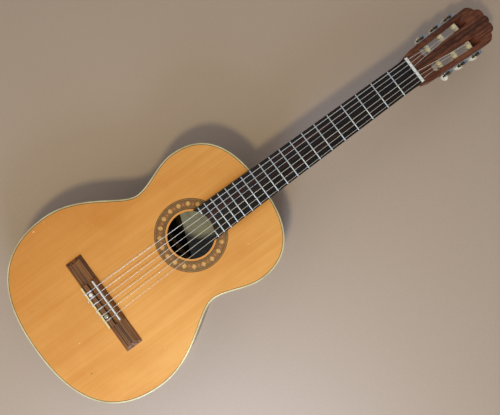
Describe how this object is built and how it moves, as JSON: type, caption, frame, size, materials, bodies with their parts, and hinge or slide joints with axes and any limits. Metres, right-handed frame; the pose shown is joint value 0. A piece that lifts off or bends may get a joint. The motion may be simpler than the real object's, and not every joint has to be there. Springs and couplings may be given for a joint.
{
  "type": "classical guitar",
  "caption": "Classical guitar lying on its back: hollow figure-of-eight body with round sound hole, neck, fretted board, tie bridge, nylon strings and slotted head with worm-geared tuners.",
  "frame": {"origin": "on the flat outer face of the back, on the centre line, straight below the line of the saddle", "axes": "+Y along the neck towards the head, +X to the treble side, +Z out of the soundboard; the guitar lies on its back on the plane z = 0"},
  "size_m": [0.3524, 0.9831, 0.1089],
  "materials": {
    "spruce_top": "thin gloss lacquer over honey-coloured spruce",
    "body_rosewood": "gloss lacquer over red-brown rosewood",
    "inner_cedar": "bare sanded softwood",
    "rosette_inlay": "lacquered ring of dyed inlay",
    "binding": "cream edge strip, lacquered",
    "bridge_rosewood": "satin rosewood",
    "bone": "polished cream bone",
    "fingerboard_wood": "dark oiled wood, with nickel-silver frets joined to it",
    "neck_cedar": "satin lacquer over red-brown cedar",
    "nylon": "clear nylon",
    "wound_string": "silver-plated winding",
    "plated_steel": "worn nickel plate",
    "aged_brass": "dulled brass",
    "roller_plastic": "cream sleeve on a steel shaft",
    "button_pearl": "pearly cream plastic"
  },
  "bodies": {
    "guitar": {"soundboard": "spruce_top", "back_plate": "body_rosewood", "rosette": "rosette_inlay", "side_bass": "body_rosewood", "side_treble": "body_rosewood", "top_lining_bass": "inner_cedar", "top_lining_treble": "inner_cedar", "back_lining_bass": "inner_cedar", "back_lining_treble": "inner_cedar", "top_binding": "binding", "back_binding": "binding", "tail_block": "inner_cedar", "neck_block": "inner_cedar", "back_bar_1": "inner_cedar", "back_bar_2": "inner_cedar", "back_bar_3": "inner_cedar", "harmonic_bar_lower": "inner_cedar", "harmonic_bar_upper": "inner_cedar", "fan_brace_1": "inner_cedar", "fan_brace_2": "inner_cedar", "fan_brace_3": "inner_cedar", "bridge": "bridge_rosewood", "saddle": "bone", "tie_block_strip": "bone", "fingerboard": "fingerboard_wood", "nut": "bone", "neck": "neck_cedar", "head_plate": "bridge_rosewood", "machine_plate_bass": "plated_steel", "machine_plate_treble": "plated_steel", "string_1": "nylon", "string_2": "nylon", "string_3": "nylon", "string_4": "wound_string", "string_5": "wound_string", "string_6": "wound_string"},
    "peg_1": {"worm_1": "plated_steel", "button_1": "button_pearl"},
    "barrel_1": {"roller_1": "roller_plastic", "gear_1": "aged_brass"},
    "peg_2": {"worm_2": "plated_steel", "button_2": "button_pearl"},
    "barrel_2": {"roller_2": "roller_plastic", "gear_2": "aged_brass"},
    "peg_3": {"worm_3": "plated_steel", "button_3": "button_pearl"},
    "barrel_3": {"roller_3": "roller_plastic", "gear_3": "aged_brass"},
    "peg_4": {"worm_4": "plated_steel", "button_4": "button_pearl"},
    "barrel_4": {"roller_4": "roller_plastic", "gear_4": "aged_brass"},
    "peg_5": {"worm_5": "plated_steel", "button_5": "button_pearl"},
    "barrel_5": {"roller_5": "roller_plastic", "gear_5": "aged_brass"},
    "peg_6": {"worm_6": "plated_steel", "button_6": "button_pearl"},
    "barrel_6": {"roller_6": "roller_plastic", "gear_6": "aged_brass"}
  },
  "joints": [
    {"name": "peg_turn_1", "type": "hinge", "parent": "guitar", "child": "peg_1", "pos_m": [0.0389, 0.70883, 0.07641], "axis": [0, 0.225, 0.9744], "continuous": true},
    {"name": "barrel_turn_1", "type": "hinge", "parent": "guitar", "child": "barrel_1", "pos_m": [0.01704, 0.70142, 0.07812], "axis": [0.9991, -0.0406, 0.0094], "continuous": true},
    {"name": "peg_turn_2", "type": "hinge", "parent": "guitar", "child": "peg_2", "pos_m": [0.04035, 0.7429, 0.06855], "axis": [0, 0.225, 0.9744], "continuous": true},
    {"name": "barrel_turn_2", "type": "hinge", "parent": "guitar", "child": "barrel_2", "pos_m": [0.0185, 0.7355, 0.07026], "axis": [0.9991, -0.0406, 0.0094], "continuous": true},
    {"name": "peg_turn_3", "type": "hinge", "parent": "guitar", "child": "peg_3", "pos_m": [0.04181, 0.77697, 0.06068], "axis": [0, 0.225, 0.9744], "continuous": true},
    {"name": "barrel_turn_3", "type": "hinge", "parent": "guitar", "child": "barrel_3", "pos_m": [0.01996, 0.76957, 0.06239], "axis": [0.9991, -0.0406, 0.0094], "continuous": true},
    {"name": "peg_turn_4", "type": "hinge", "parent": "guitar", "child": "peg_4", "pos_m": [-0.04181, 0.77697, 0.06068], "axis": [0, 0.225, 0.9744], "continuous": true},
    {"name": "barrel_turn_4", "type": "hinge", "parent": "guitar", "child": "barrel_4", "pos_m": [-0.01996, 0.76957, 0.06239], "axis": [0.9991, 0.0406, -0.0094], "continuous": true},
    {"name": "peg_turn_5", "type": "hinge", "parent": "guitar", "child": "peg_5", "pos_m": [-0.04035, 0.7429, 0.06855], "axis": [0, 0.225, 0.9744], "continuous": true},
    {"name": "barrel_turn_5", "type": "hinge", "parent": "guitar", "child": "barrel_5", "pos_m": [-0.0185, 0.7355, 0.07026], "axis": [0.9991, 0.0406, -0.0094], "continuous": true},
    {"name": "peg_turn_6", "type": "hinge", "parent": "guitar", "child": "peg_6", "pos_m": [-0.0389, 0.70883, 0.07641], "axis": [0, 0.225, 0.9744], "continuous": true},
    {"name": "barrel_turn_6", "type": "hinge", "parent": "guitar", "child": "barrel_6", "pos_m": [-0.01704, 0.70142, 0.07812], "axis": [0.9991, 0.0406, -0.0094], "continuous": true}
  ],
  "couplings": [
    {"joint": "barrel_turn_1", "follows": "peg_turn_1", "ratio": -0.071429},
    {"joint": "barrel_turn_2", "follows": "peg_turn_2", "ratio": -0.071429},
    {"joint": "barrel_turn_3", "follows": "peg_turn_3", "ratio": -0.071429},
    {"joint": "barrel_turn_4", "follows": "peg_turn_4", "ratio": -0.071429},
    {"joint": "barrel_turn_5", "follows": "peg_turn_5", "ratio": -0.071429},
    {"joint": "barrel_turn_6", "follows": "peg_turn_6", "ratio": -0.071429}
  ]
}
